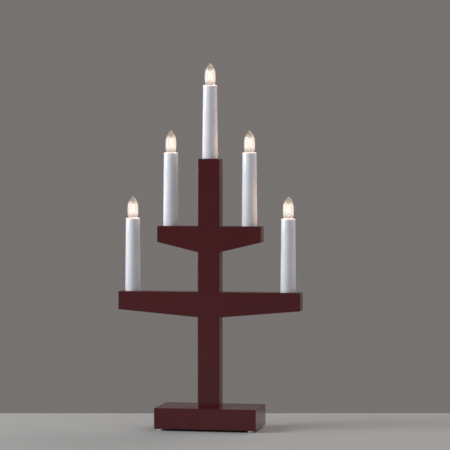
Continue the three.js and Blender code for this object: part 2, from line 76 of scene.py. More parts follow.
# Softboxes on a ring round the object. Turn 0 is the camera's side, a negative turn its left.
LIGHT_RING = 2.6
LIGHT_AIM = Vector((0, 0, 0.25))
SOFTBOXES = [
    {
        "name": "key", "turn": -78, "rise": 20, "size": (1.3, 2.0),
        "power": 81, "colour": (0.905, 0.957, 1.0),
    },
    {
        "name": "near_fill", "turn": 50, "rise": 15, "size": (1.7, 1.5),
        "power": 9.6, "colour": (0.96, 0.97, 1.0),
    },
    {
        "name": "far_fill", "turn": 94, "rise": 15, "size": (1.7, 1.5),
        "power": 8.8, "colour": (0.96, 0.98, 1.0),
    },
    {
        "name": "back", "turn": 135, "rise": 40, "size": (1.3, 2.0),
        "power": 27, "colour": (1.0, 0.93, 0.91),
    },
]

# Candle tube, measured down from its rim
TUBE_SEGMENTS = 96
RIM_ROUND = 0.95 * MM
RIM_ROUND_STEPS = 8
RIM_HOLE = 7.3 * MM
RIM_THICKNESS = 1.6 * MM
TUBE_WALL = 1.3 * MM
TUBE_TAPER = 1.05 * MM
TUBE_EASE = 0.35 * MM
SPIGOT_RADIUS = 6.7 * MM
SPIGOT_BORE = 5 * MM
SPIGOT_LENGTH = 8 * MM

# Glass of a lamp, measured up from the rim of its tube, as all of the lamp and lampholder is
GLASS_HEIGHT = 31 * MM
GLASS_RADIUS = 7.8 * MM
GLASS_WALL = 0.55 * MM
GLASS_NECK = 4 * MM
GLASS_NECK_LOW = -6.5 * MM
GLASS_SEGMENTS = 64
GLASS_KNOT_STEPS = 5

# Its outline above the neck, in shares of its radius and of its height
GLASS_KNOTS = [
    (GLASS_NECK / GLASS_RADIUS, -0.087), (0.85, -0.012), (0.935, 0.09), (0.985, 0.22),
    (1.0, 0.40), (0.96, 0.57), (0.87, 0.70), (0.71, 0.80), (0.51, 0.885),
    (0.27, 0.95), (0.10, 0.985), (0.0, 1.0),
]

# The hollow follows it up to a height, then closes in: shares of its last radius, with rises
HOLLOW_TOP = 29.3 * MM
HOLLOW_TIP = [(0.72, 0.3 * MM), (0.35, 0.6 * MM), (0, 0.7 * MM)]

# Stem inside the glass, from its flare up to the bead: radius and height
BEAD_TOP = 5 * MM
STEM_GAP = 0.3 * MM
STEM_FLARE_EDGE = 0.4 * MM
STEM_SEGMENTS = 32
STEM_LINE = [
    (2.2 * MM, -3.5 * MM), (1.55 * MM, -0.5 * MM), (1.5 * MM, 2 * MM), (1.8 * MM, 3.2 * MM),
    (1.9 * MM, 3.9 * MM), (1.65 * MM, 4.6 * MM), (1.0 * MM, BEAD_TOP - 0.1 * MM), (0, BEAD_TOP),
]

# Coiled filament: up from one lead, over a hook, down and up again, and down to the other lead
FILAMENT_TOP = 20.5 * MM
FILAMENT_LOW = 6.5 * MM
FILAMENT_DIP = FILAMENT_LOW + 1.5 * MM
FILAMENT_SPREAD = 2.9 * MM
FILAMENT_CLOSE = 1.5 * MM
FILAMENT_BACK = 0.2 * MM
COIL_RADIUS = 0.24 * MM
COIL_WIRE_RADIUS = 0.065 * MM
COIL_WIRE_SIDES = 5
COIL_TURNS_PER_METRE = 2400
COIL_STEPS_PER_TURN = 8

# How far the pointed end of any wire reaches, as a share of its radius
WIRE_POINT = 0.6

# The right lead, from inside the stem to its hook round the end of the filament
LEAD = {
    "radius": 0.17 * MM, "sides": 8, "knot_steps": 6,
    "knots": [
        (0.8 * MM, 0, -2 * MM),
        (0.8 * MM, 0, BEAD_TOP - 1.2 * MM),
        (1.3 * MM, 0, BEAD_TOP + 0.4 * MM),
        (FILAMENT_SPREAD, 0, FILAMENT_LOW - 0.3 * MM),
        (FILAMENT_SPREAD + 0.35 * MM, 0.3 * MM, FILAMENT_LOW + 0.35 * MM),
        (FILAMENT_SPREAD - 0.1 * MM, 0.5 * MM, FILAMENT_LOW + 0.7 * MM),
    ],
}

# The centre wire that stands in the bead
SUPPORT = {
    "radius": 0.14 * MM, "sides": 8, "knot_steps": 6,
    "knots": [
        (0, 0, BEAD_TOP - 1 * MM),
        (0, 0.1 * MM, 12 * MM),
        (0, FILAMENT_BACK, FILAMENT_TOP + 1.6 * MM),
    ],
}

# The right hook of the centre wire, which holds a bend of the filament
HOOK = {
    "radius": 0.12 * MM, "sides": 6, "knot_steps": 5,
    "knots": [
        (0, FILAMENT_BACK, FILAMENT_TOP + 1.3 * MM),
        (0.9 * MM, FILAMENT_BACK, FILAMENT_TOP + 1.1 * MM),
        (1.75 * MM, 0.25 * MM, FILAMENT_TOP + 0.5 * MM),
        (1.9 * MM, 0.6 * MM, FILAMENT_TOP - 0.3 * MM),
    ],
}

# Rolled threads of lamp and lampholder
THREAD_PITCH = 1.81 * MM
THREAD_SWING = 0.3 * MM
THREAD_SEGMENTS = 48
THREAD_ROWS_PER_TURN = 10
SHEET_METAL = 0.3 * MM

# Cap of a lamp: its thread, the collar above it and the black insulator below it
CAP_TOP = -3 * MM
CAP_LOW = -13.4 * MM
CAP_CREST = 4.75 * MM
CAP_VALLEY = CAP_CREST - THREAD_SWING
CAP_THREAD_TOP = CAP_TOP - 0.8 * MM
CAP_THREAD_LOW = CAP_LOW + 1.3 * MM
CAP_LIP = 4.9 * MM
CAP_LIP_EDGE = 0.12 * MM
CAP_LIP_SLOPE = 0.15 * MM
CAP_LIP_HEIGHT = 0.35 * MM
COLLAR_SEGMENTS = 48
INSULATOR_HOLE = 1.9 * MM
INSULATOR_FACE = 2.7 * MM
INSULATOR_EDGE = 3.6 * MM
INSULATOR_RISE = 0.5 * MM
INSULATOR_SEGMENTS = 40

# End contact of a lamp: its round face in radius and rise, and its shank in the insulator
CONTACT_FACE = [(0, 0), (0.9 * MM, 0.03 * MM), (1.6 * MM, 0.25 * MM), (2.05 * MM, 0.6 * MM)]
CONTACT_RADIUS = 2.2 * MM
CONTACT_SEAT = CAP_LOW - 0.3 * MM
CONTACT_SHANK = 1.6 * MM
CONTACT_TOP = CAP_LOW + 2 * MM
CONTACT_SEGMENTS = 32

# Threaded shell of a lampholder, with the tag that its wire is soldered to
SHELL_TOP = -4 * MM
SHELL_LOW = -14 * MM
SHELL_CREST = 5.45 * MM
TAG_INNER = 4.85 * MM
TAG_OUTER = 5.25 * MM
TAG_HALF_WIDTH = 1.2 * MM
TAG_OVERLAP = 0.5 * MM

# Bumper foot: its crowned side in shares of its radius and of its height
FOOT_CROWN = [(0.66, 0), (0.84, 0.14), (0.95, 0.45), (1, 0.85)]
FOOT_KNOT_STEPS = 4
FOOT_SEGMENTS = 40

# Rubber bush in the back of the base
BUSH_BARREL = 5 * MM
BUSH_BORE = 3.3 * MM
BUSH_LIP = 1.5 * MM
BUSH_RIM_ROUND = 0.5 * MM
BUSH_BORE_ROUND = 0.6 * MM
BUSH_ROUND_STEPS = 5
BUSH_SEGMENTS = 48

# Screws of the base cover. The recess and the edge of the head are shares of the head's radius.
SCREW_INSET = 6 * MM
SCREW_RADIUS = 2.9 * MM
SCREW_SEGMENTS = 40
SCREW_EDGE = 0.93
SCREW_RISE = 0.10
RECESS_HALF_WIDTH = 0.16
RECESS_REACH = 0.62
RECESS_FLOOR = 0.6
RECESS_DEPTH = 0.45

# Edges sharper than these angles in degrees are shaded hard
HARD_EDGE = 32
SCREW_HARD_EDGE = 40
TURNED_HARD_EDGE = 50
WIRE_HARD_EDGE = 60
GLASS_HARD_EDGE = 70
THREAD_HARD_EDGE = 70

# Two colours of each finish, which it wanders between
PAINT_RED = ((0.067, 0.0066, 0.0093), (0.078, 0.0078, 0.0109))
TUBE_WHITE = ((0.81, 0.785, 0.82), (0.85, 0.825, 0.86))
GLASS_TINT = ((0.97, 0.92, 0.86), (1.0, 0.96, 0.91))
STEM_TINT = ((0.90, 0.90, 0.88), (0.98, 0.97, 0.95))
FILAMENT_YELLOW = ((0.9, 0.75, 0.5), (1.0, 0.9, 0.7))
LEAD_GREY = ((0.10, 0.09, 0.08), (0.19, 0.17, 0.15))
NICKEL = ((0.52, 0.50, 0.46), (0.68, 0.66, 0.61))
BRASS = ((0.50, 0.35, 0.13), (0.72, 0.53, 0.23))
ZINC = ((0.45, 0.45, 0.44), (0.64, 0.64, 0.62))
HOLDER_CREAM = ((0.70, 0.67, 0.60), (0.78, 0.75, 0.68))
WIRE_WHITE = ((0.66, 0.66, 0.64), (0.76, 0.76, 0.74))
INSULATOR_BLACK = ((0.02, 0.018, 0.016), (0.04, 0.036, 0.03))
RUBBER_BLACK = ((0.012, 0.012, 0.012), (0.03, 0.03, 0.03))
BUMPER_MILKY = ((0.93, 0.93, 0.93), (0.98, 0.98, 0.98))
BOARD_BROWN = ((0.10, 0.055, 0.03), (0.20, 0.125, 0.075))
TABLE_PALE = ((0.40, 0.395, 0.385), (0.44, 0.435, 0.42))

# The part of a noise's range that carries a finish from one end of its span to the other
NOISE_LOW = 0.3
NOISE_HIGH = 0.7

# How much finer than its patches of colour the gloss and the bumps of a finish are
METAL_GLOSS_FINER = 1.7
METAL_BUMPS_FINER = 3
PLASTIC_GLOSS_FINER = 2
PLASTIC_BUMPS_FINER = 8

# Light of the lamps. Bands pair a share of a piece's height with the strength of its glow there.
LAMP_LIGHT = (1.0, 0.53, 0.36)
LAMP_POWER = 0.043
LAMP_LIGHT_RISE = 12.5 * MM
LAMP_LIGHT_RADIUS = 0.6 * GLASS_RADIUS
FILAMENT_GLOW = ((1.0, 0.66, 0.32), (1.0, 0.78, 0.45))
FILAMENT_STRENGTH = 0.85
GLASS_GLOW = (1.0, 0.88, 0.83, 1)
GLASS_BANDS = [
    (0.16, 0.03), (0.235, 0.085), (0.36, 0.175), (0.68, 0.165), (0.86, 0.03), (1.0, 0.01),
]
DEPTH_GLOW = (1.0, 0.71, 0.44, 1)
DEPTH_GLOW_STRENGTH = 65
# The top edge of each tube is painted with a glow: emission that stands in for lamp light shining
# through the plastic.
PAINTED_RIM_GLOW = (1.0, 0.58, 0.42, 1)
PAINTED_RIM_BANDS = [(0.972, 0.0), (0.986, 0.10), (0.995, 0.45), (1.0, 0.45)]


# Mesh helpers

def add_object(name, data):
    added = bpy.data.objects.new(name, data)
    bpy.context.scene.collection.objects.link(added)
    return added


def new_object(name, vertices, faces, hard_edge=HARD_EDGE):
    mesh = bpy.data.meshes.new(name)
    mesh.from_pydata([tuple(v) for v in vertices], [], faces)
    mesh.validate()
    mesh.polygons.foreach_set("use_smooth", [True] * len(mesh.polygons))
    mesh.set_sharp_from_angle(angle=math.radians(hard_edge))
    mesh.update()
    return add_object(name, mesh)


def slab(name, corners, low, high):
    """An upright prism over corners that run anticlockwise, seen from above."""
    count = len(corners)
    vertices = [Vector((corner.x, corner.y, z)) for z in (low, high) for corner in corners]
    faces = [tuple(range(count - 1, -1, -1)), tuple(range(count, 2 * count))]
    for here in range(count):
        after = (here + 1) % count
        faces.append((here, after, count + after, count + here))
    return new_object(name, vertices, faces)


def lathe(name, profile, segments, centre, closed=False, lying=False, hard_edge=HARD_EDGE):
    """Turns a profile of (radius, height) about an upright line or, lying, about one along +Y."""
    on_axis = 1e-7
    vertices = []
    rings = []
    for radius, height in profile:
        if radius < on_axis:
            rings.append([len(vertices)])
            vertices.append((0.0, 0.0, height))
            continue
        rings.append(range(len(vertices), len(vertices) + segments))
        for step in range(segments):
            angle = TAU * step / segments
            vertices.append((radius * math.cos(angle), radius * math.sin(angle), height))
    pairs = list(zip(rings, rings[1:]))
    if closed:
        pairs.append((rings[-1], rings[0]))
    faces = []
    for low, high in pairs:
        for step in range(segments):
            after = (step + 1) % segments
            if len(low) == 1:
                faces.append((low[0], high[after], high[step]))
            elif len(high) == 1:
                faces.append((low[step], low[after], high[0]))
            else:
                faces.append((low[step], low[after], high[after], high[step]))
    if lying:
        vertices = [(x, z, -y) for x, y, z in vertices]
    moved = [Vector(v) + Vector(centre) for v in vertices]
    return new_object(name, moved, faces, hard_edge)


def tube_along(name, points, radius, sides):
    """A round wire with pointed ends, whose cross section is carried smoothly along the points."""
    points = [Vector(p) for p in points]
    last = len(points) - 1
    along = []
    for i in range(last + 1):
        along.append((points[min(i + 1, last)] - points[max(i - 1, 0)]).normalized())
    across = along[0].orthogonal().normalized()
    vertices = []
    for i, point in enumerate(points):
        across = (across - along[i] * across.dot(along[i])).normalized()
        other = along[i].cross(across)
        for side in range(sides):
            angle = TAU * side / sides
            offset = across * math.cos(angle) + other * math.sin(angle)
            vertices.append(point + offset * radius)
    start_tip = len(vertices)
    end_tip = start_tip + 1
    vertices.append(points[0] - along[0] * WIRE_POINT * radius)
    vertices.append(points[last] + along[last] * WIRE_POINT * radius)
    faces = []
    for side in range(sides):
        after = (side + 1) % sides
        for i in range(last):
            row = i * sides
            ahead = row + sides
            faces.append((row + side, row + after, ahead + after, ahead + side))
        faces.append((after, side, start_tip))
        faces.append((last * sides + side, last * sides + after, end_tip))
    return new_object(name, vertices, faces, WIRE_HARD_EDGE)


def smooth_line(knots, steps):
    """A Catmull-Rom line through the knots, with steps points from each knot to the next."""
    knots = [Vector(k) for k in knots]
    padded = [2 * knots[0] - knots[1], *knots, 2 * knots[-1] - knots[-2]]
    line = []
    for before, start, end, after in zip(padded, padded[1:], padded[2:], padded[3:]):
        for step in range(steps):
            t = step / steps
            line.append(0.5 * (
                2 * start + (end - before) * t
                + (2 * before - 5 * start + 4 * end - after) * t * t
                + (3 * start - before - 3 * end + after) * t * t * t
            ))
    line.append(knots[-1])
    return line


def arc(centre_radius, centre_height, radius, start_degrees, end_degrees, steps):
    """Points of a round corner in a lathe profile."""
    points = []
    for step in range(steps + 1):
        angle = math.radians(start_degrees + (end_degrees - start_degrees) * step / steps)
        points.append((
            centre_radius + radius * math.cos(angle),
            centre_height + radius * math.sin(angle),
        ))
    return points


def dress(piece, body, slot, material, *replaced):
    """Gives a piece its material and the body it rides on, and hides any CAD node it replaces. The
    slot is not used.
    """
    piece.data.materials.append(material)
    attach(piece, body)
    if replaced:
        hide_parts(*replaced)


# Material helpers

class Look:
    """A material under construction: a Principled shader with procedural nodes before it."""

    def __init__(self, name, values):
        """The values are the shader's inputs that are the same all over the surface."""
        self.material = bpy.data.materials.new(name)
        self.material.use_nodes = True
        self.nodes = self.material.node_tree.nodes
        self.links = self.material.node_tree.links
        self.shader = self.nodes["Principled BSDF"]
        self.place = self.nodes.new("ShaderNodeTexCoord").outputs["Object"]
        for key, value in values.items():
            self.shader.inputs[key].default_value = value

    def noise(self, scale, detail=3, roughness=0.55, stretch=(1, 1, 1)):
        mapping = self.nodes.new("ShaderNodeMapping")
        mapping.inputs["Scale"].default_value = stretch
        self.links.new(self.place, mapping.inputs["Vector"])
        noise = self.nodes.new("ShaderNodeTexNoise")
        noise.inputs["Scale"].default_value = scale
        noise.inputs["Detail"].default_value = detail
        noise.inputs["Roughness"].default_value = roughness
        self.links.new(mapping.outputs["Vector"], noise.inputs["Vector"])
        return noise.outputs["Fac"]

    def patches(self, colours, **grain):
        """A colour that wanders between two."""
        ramp = self.nodes.new("ShaderNodeValToRGB")
        elements = ramp.color_ramp.elements
        for element, position, colour in zip(elements, (NOISE_LOW, NOISE_HIGH), colours):
            element.position = position
            element.color = (*colour, 1)
        self.links.new(self.noise(**grain), ramp.inputs["Fac"])
        return ramp.outputs["Color"]

    def colour(self, colours, **grain):
        self.links.new(self.patches(colours, **grain), self.shader.inputs["Base Color"])

    def roughness(self, low, high, **grain):
        spread = self.nodes.new("ShaderNodeMapRange")
        spread.inputs["From Min"].default_value = NOISE_LOW
        spread.inputs["From Max"].default_value = NOISE_HIGH
        spread.inputs["To Min"].default_value = low
        spread.inputs["To Max"].default_value = high
        self.links.new(self.noise(**grain), spread.inputs["Value"])
        self.links.new(spread.outputs["Result"], self.shader.inputs["Roughness"])

    def bumps(self, depth, strength, **grain):
        bump = self.nodes.new("ShaderNodeBump")
        bump.inputs["Strength"].default_value = strength
        bump.inputs["Distance"].default_value = depth
        self.links.new(self.noise(**grain), bump.inputs["Height"])
        self.links.new(bump.outputs["Normal"], self.shader.inputs["Normal"])

    def glow(self, colour, bands):
        """Emission by height, in bands from the lowest up."""
        whole = self.nodes.new("ShaderNodeTexCoord").outputs["Generated"]
        split = self.nodes.new("ShaderNodeSeparateXYZ")
        self.links.new(whole, split.inputs["Vector"])
        glow = self.nodes.new("ShaderNodeValToRGB")
        glow.color_ramp.interpolation = "EASE"
        elements = glow.color_ramp.elements
        elements[0].position = bands[0][0]
        elements[-1].position = bands[-1][0]
        for position, _ in bands[1:-1]:
            elements.new(position)
        for element, (_, level) in zip(elements, bands):
            element.color = (level, level, level, 1)
        self.links.new(split.outputs["Z"], glow.inputs["Fac"])
        self.links.new(glow.outputs["Color"], self.shader.inputs["Emission Strength"])
        self.shader.inputs["Emission Color"].default_value = colour


def red_paint():
    look = Look("red_paint", {"IOR": 1.5})
    look.colour(PAINT_RED, scale=18, detail=4)
    look.roughness(low=0.18, high=0.25, scale=60)
    look.bumps(depth=0.06 * MM, strength=0.35, scale=900, detail=2, roughness=0.6)
    return look.material


def tube_plastic():
    look = Look("tube_plastic", {
        "IOR": 1.5, "Subsurface Weight": 0.45, "Subsurface Scale": 3 * MM,
        "Subsurface Radius": (1.0, 0.62, 0.45),
    })
    look.colour(TUBE_WHITE, scale=30)
    look.roughness(low=0.12, high=0.18, scale=80, stretch=(1, 1, 0.2))
    look.bumps(depth=0.04 * MM, strength=0.3, scale=260, detail=2, stretch=(1, 1, 0.15))
    # Painted glow: the top edge of the tube emits light, standing in for lamp light that shines
    # through the plastic.
    look.glow(PAINTED_RIM_GLOW, PAINTED_RIM_BANDS)
    return look.material


def lamp_glass():
    """Clear glass that its filament lights up: its faces by height, its depth evenly."""
    look = Look("lamp_glass", {"IOR": 1.45, "Transmission Weight": 1.0, "Roughness": 0.015})
    look.colour(GLASS_TINT, scale=90, detail=2)
    look.glow(GLASS_GLOW, GLASS_BANDS)
    depth = look.nodes.new("ShaderNodeEmission")
    depth.inputs["Color"].default_value = DEPTH_GLOW
    depth.inputs["Strength"].default_value = DEPTH_GLOW_STRENGTH
    look.links.new(depth.outputs["Emission"], look.nodes["Material Output"].inputs["Volume"])
    return look.material


def stem_glass():
    look = Look("stem_glass", {"IOR": 1.5, "Transmission Weight": 0.85})
    look.colour(STEM_TINT, scale=300, detail=2)
    look.roughness(low=0.05, high=0.16, scale=500, detail=2)
    return look.material


def filament_glow():
    look = Look("filament_glow", {"Roughness": 0.6, "Emission Strength": FILAMENT_STRENGTH})
    look.colour(FILAMENT_YELLOW, scale=900, detail=2)
    hot = look.patches(FILAMENT_GLOW, scale=700, detail=2)
    look.links.new(hot, look.shader.inputs["Emission Color"])
    return look.material


def plain_metal(name, colours, low, high, scale):
    look = Look(name, {"Metallic": 1.0})
    look.colour(colours, scale=scale)
    look.roughness(low, high, scale=scale * METAL_GLOSS_FINER)
    look.bumps(depth=0.02 * MM, strength=0.4, scale=scale * METAL_BUMPS_FINER, detail=2)
    return look.material


def soft_plastic(name, colours, low, high, scale):
    look = Look(name, {"IOR": 1.48})
    look.colour(colours, scale=scale)
    look.roughness(low, high, scale=scale * PLASTIC_GLOSS_FINER)
    look.bumps(depth=0.03 * MM, strength=0.4, scale=scale * PLASTIC_BUMPS_FINER, detail=2)
    return look.material


def clear_bumper():
    look = Look("clear_bumper", {
        "IOR": 1.5, "Subsurface Weight": 0.9, "Subsurface Scale": 4 * MM,
        "Subsurface Radius": (1.0, 1.0, 1.0),
    })
    look.colour(BUMPER_MILKY, scale=120, detail=2)
    look.roughness(low=0.06, high=0.12, scale=400, detail=2)
    return look.material


def hardboard():
    look = Look("hardboard", {"IOR": 1.45})
    look.colour(BOARD_BROWN, scale=420, detail=6, roughness=0.7)
    look.roughness(low=0.6, high=0.85, scale=200)
    look.bumps(depth=0.12 * MM, strength=0.6, scale=700, detail=5, roughness=0.7)
    return look.material


def pale_table():
    look = Look("pale_table", {"Roughness": 0.6, "IOR": 1.4})
    look.colour(TABLE_PALE, scale=3, detail=4)
    return look.material


# Camera, stage and light

def make_camera():
    data = bpy.data.cameras.new("camera")
    camera = add_object("camera", data)
    along = Vector((-math.sin(CAMERA_TURN), math.cos(CAMERA_TURN), 0))
    right = Vector((math.cos(CAMERA_TURN), math.sin(CAMERA_TURN), 0))
    camera.location = -along * CAMERA_DISTANCE + right * CAMERA_SIDE
    camera.location.z = CAMERA_HEIGHT
    camera.rotation_euler = (math.pi / 2 - CAMERA_TILT, 0, CAMERA_TURN)
    data.sensor_width = SENSOR_MM
    data.lens = FOCAL_PX / FRAME_PX * SENSOR_MM
    data.clip_start = NEAREST_SEEN
    data.clip_end = FARTHEST_SEEN
    bpy.context.scene.camera = camera


def make_table(material):
    """A plain pale table top whose back edge lies across the camera's view."""
    turn = Matrix.Rotation(CAMERA_TURN, 4, "Z")
    left, right = -TABLE_HALF_WIDTH, TABLE_HALF_WIDTH
    front, back = -TABLE_FRONT, TABLE_BEHIND
    outline = ((left, front), (right, front), (right, back), (left, back))
    corners = [turn @ Vector((x, y, 0)) for x, y in outline]
    table = slab("table", corners, -TABLE_THICKNESS, 0)
    table.data.materials.append(material)


def make_world():
    """An even grey all round, which is the backdrop too."""
    world = bpy.data.worlds.new("studio")
    bpy.context.scene.world = world
    world.use_nodes = True
    world.node_tree.nodes["Background"].inputs["Color"].default_value = (*WALL_GREY, 1)


def softbox(name, turn, rise, size, power, colour):
    """A studio light that shiny things mirror, but neither the camera nor the glass shows."""
    data = bpy.data.lights.new(name, "AREA")
    data.shape = "RECTANGLE"
    data.size, data.size_y = size
    data.energy = power
    data.color = colour
    light = add_object(name, data)
    angle = CAMERA_TURN - math.pi / 2 + math.radians(turn)
    reach = LIGHT_RING * math.cos(math.radians(rise))
    height = LIGHT_RING * math.sin(math.radians(rise))
    light.location = LIGHT_AIM + Vector((reach * math.cos(angle), reach * math.sin(angle), height))
    light.rotation_euler = (LIGHT_AIM - light.location).to_track_quat("-Z", "Y").to_euler()
    light.visible_camera = False
    light.visible_transmission = False


def lamp_light(place, rim):
    """The light that a lamp throws on what is round it."""
    data = bpy.data.lights.new(f"light_{place}", "POINT")
    data.energy = LAMP_POWER
    data.color = LAMP_LIGHT
    data.shadow_soft_size = LAMP_LIGHT_RADIUS
    light = add_object(f"light_{place}", data)
    light.location = rim + Vector((0, 0, LAMP_LIGHT_RISE))
    light.visible_camera = False
    light.visible_transmission = False
    light.visible_glossy = False
    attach(light, f"lamp_{place}")


# Candle tubes

def candle_tube(place, material):
    """Builds the tube of a place and returns the middle of its rim."""
    low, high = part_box(f"candle_tube_{place}")
    middle = (low + high) / 2
    rim = Vector((middle.x, middle.y, high.z))
    foot_radius = (high.x - low.x) / 2
    rim_radius = foot_radius - TUBE_TAPER
    foot = low.z + SPIGOT_LENGTH - high.z
    profile = [
        (SPIGOT_BORE, foot - SPIGOT_LENGTH), (SPIGOT_RADIUS, foot - SPIGOT_LENGTH),
        (SPIGOT_RADIUS, foot), (foot_radius - TUBE_EASE, foot), (foot_radius, foot + TUBE_EASE),
        *arc(rim_radius - RIM_ROUND, -RIM_ROUND, RIM_ROUND, 0, 90, RIM_ROUND_STEPS),
        (RIM_HOLE + TUBE_EASE, 0), (RIM_HOLE, -TUBE_EASE), (RIM_HOLE, -RIM_THICKNESS),
        (rim_radius - TUBE_WALL, -RIM_THICKNESS), (foot_radius - TUBE_WALL, foot + TUBE_WALL),
        (SPIGOT_BORE, foot + TUBE_WALL),
    ]
    sleeve = lathe(
        f"sleeve_{place}", profile, TUBE_SEGMENTS, rim, closed=True, hard_edge=TURNED_HARD_EDGE,
    )
    dress(sleeve, MAIN_BODY, "tube_plastic", material, f"candle_tube_{place}")
    return rim


# Lamps

def glass_outline():
    """The outer line of the glass, from the foot of its neck to its tip: (radius, height)."""
    knots = [(radius * GLASS_RADIUS, 0, height * GLASS_HEIGHT) for radius, height in GLASS_KNOTS]
    line = smooth_line(knots, GLASS_KNOT_STEPS)
    return [(GLASS_NECK, GLASS_NECK_LOW), *[(max(point.x, 0), point.z) for point in line]]


def glass_hollow(outline):
    """The outline moved inwards by the thickness of the glass, and closed under the tip."""
    hollow = [(GLASS_NECK - GLASS_WALL, GLASS_NECK_LOW)]
    for before, point, after in zip(outline, outline[1:], outline[2:]):
        along = Vector((after[0] - before[0], 0, after[1] - before[1])).normalized()
        radius = point[0] - GLASS_WALL * along.z
        height = point[1] + GLASS_WALL * along.x
        if height < HOLLOW_TOP:
            hollow.append((radius, height))
    radius, height = hollow[-1]
    for share, rise in HOLLOW_TIP:
        hollow.append((share * radius, height + rise))
    return hollow


def glass_envelope(place, rim, material):
    outline = glass_outline()
    profile = [*reversed(glass_hollow(outline)), *outline]
    name = f"glass_{place}"
    glass = lathe(name, profile, GLASS_SEGMENTS, rim, hard_edge=GLASS_HARD_EDGE)
    glass.visible_shadow = False
    dress(glass, f"lamp_{place}", "lamp_glass", material, f"lamp_glass_{place}")


def lamp_stem(place, rim, material):
    flare = GLASS_NECK - GLASS_WALL - STEM_GAP
    profile = [
        (0, GLASS_NECK_LOW), (flare, GLASS_NECK_LOW), (flare, GLASS_NECK_LOW + STEM_FLARE_EDGE),
        *STEM_LINE,
    ]
    stem = lathe(f"stem_{place}", profile, STEM_SEGMENTS, rim, hard_edge=TURNED_HARD_EDGE)
    dress(stem, f"lamp_{place}", "lamp_mount", material, f"lamp_mount_{place}")


def filament_bends():
    """The ends and bends of the filament, from left to right."""
    low_end = Vector((-FILAMENT_SPREAD, 0, FILAMENT_LOW))
    top_bend = Vector((-FILAMENT_CLOSE, FILAMENT_BACK, FILAMENT_TOP))
    dip = Vector((0, FILAMENT_BACK, FILAMENT_DIP))
    other_side = Vector((-1, 1, 1))
    return [low_end, top_bend, dip, top_bend * other_side, low_end * other_side]


def coiled_filament(place, rim, material):
    bends = filament_bends()
    points = []
    phase = 0.0
    for start, end in zip(bends, bends[1:]):
        along = (end - start).normalized()
        across = along.cross(Vector((0, 1, 0))).normalized()
        other = along.cross(across)
        steps = round((end - start).length * COIL_TURNS_PER_METRE * COIL_STEPS_PER_TURN)
        for step in range(steps):
            angle = phase + TAU * step / COIL_STEPS_PER_TURN
            offset = across * math.cos(angle) + other * math.sin(angle)
            points.append(rim + start.lerp(end, step / steps) + offset * COIL_RADIUS)
        phase += TAU * steps / COIL_STEPS_PER_TURN
    filament = tube_along(f"filament_{place}", points, COIL_WIRE_RADIUS, COIL_WIRE_SIDES)
    filament.visible_diffuse = False
    filament.visible_glossy = False
    dress(filament, f"lamp_{place}", "lamp_mount", material)


def mount_wire(name, place, rim, material, shape, side=1):
    """A bent wire inside a lamp. Side -1 mirrors it to the left."""
    knots = [(side * x, y, z) for x, y, z in shape["knots"]]
    points = [rim + point for point in smooth_line(knots, shape["knot_steps"])]
    wire = tube_along(f"{name}_{place}", points, shape["radius"], shape["sides"])
    dress(wire, f"lamp_{place}", "lamp_mount", material)


def lamp_leads(place, rim, material):
    """The two leads that rise out of the bead and hook round the ends of the filament."""
    for side, word in SIDES:
        mount_wire(f"lead_{word}", place, rim, material, LEAD, side)


def filament_support(place, rim, material):
    """A centre wire from the bead, with a hook to each side for the bends of the filament."""
    mount_wire("support", place, rim, material, SUPPORT)
    for side, word in SIDES:
        mount_wire(f"support_hook_{word}", place, rim, material, HOOK, side)


def threaded_sleeve(name, top, low, crest, rim):
    """A thin rolled sleeve with a right-hand thread that fades in and out at its ends."""
    rows = round((top - low) / THREAD_PITCH * THREAD_ROWS_PER_TURN)
    outer = []
    inner = []
    for row in range(rows + 1):
        height = low + (top - low) * row / rows
        fade = min(1, row / THREAD_ROWS_PER_TURN, (rows - row) / THREAD_ROWS_PER_TURN)
        for step in range(THREAD_SEGMENTS):
            turn = step / THREAD_SEGMENTS
            wave = math.cos(TAU * (height / THREAD_PITCH - turn))
            radius = crest - THREAD_SWING * (1 - wave * fade)
            for wall, vertices in ((0, outer), (SHEET_METAL, inner)):
                vertices.append(rim + Vector((
                    (radius - wall) * math.cos(TAU * turn),
                    (radius - wall) * math.sin(TAU * turn),
                    height,
                )))
    count = len(outer)
    faces = []
    for step in range(THREAD_SEGMENTS):
        after = (step + 1) % THREAD_SEGMENTS
        for row in range(rows):
            start = row * THREAD_SEGMENTS
            ahead = start + THREAD_SEGMENTS
            face = (start + step, start + after, ahead + after, ahead + step)
            faces.append(face)
            faces.append(tuple(count + corner for corner in reversed(face)))
        last = rows * THREAD_SEGMENTS
        faces.append((count + step, count + after, after, step))
        faces.append((last + step, last + after, count + last + after, count + last + step))
    return new_object(name, outer + inner, faces, THREAD_HARD_EDGE)


def lamp_cap(place, rim, metal, insulator_plastic):
    body = f"lamp_{place}"
    sleeve = threaded_sleeve(f"cap_thread_{place}", CAP_THREAD_TOP, CAP_THREAD_LOW, CAP_CREST, rim)
    dress(sleeve, body, "nickel", metal, f"lamp_cap_{place}")
    collar = lathe(f"cap_collar_{place}", [
        (CAP_VALLEY - SHEET_METAL, CAP_THREAD_TOP), (CAP_VALLEY, CAP_THREAD_TOP),
        (CAP_LIP - CAP_LIP_SLOPE, CAP_TOP - CAP_LIP_HEIGHT), (CAP_LIP, CAP_TOP - CAP_LIP_EDGE),
        (CAP_LIP - CAP_LIP_EDGE, CAP_TOP), (CAP_VALLEY - SHEET_METAL, CAP_TOP),
    ], COLLAR_SEGMENTS, rim, closed=True)
    dress(collar, body, "nickel", metal)
    insulator = lathe(f"cap_insulator_{place}", [
        (INSULATOR_HOLE, CAP_LOW), (INSULATOR_FACE, CAP_LOW),
        (INSULATOR_EDGE, CAP_LOW + INSULATOR_RISE),
        (CAP_VALLEY, CAP_THREAD_LOW), (INSULATOR_HOLE, CAP_THREAD_LOW),
    ], INSULATOR_SEGMENTS, rim, closed=True)
    dress(insulator, body, "holder_plastic", insulator_plastic)


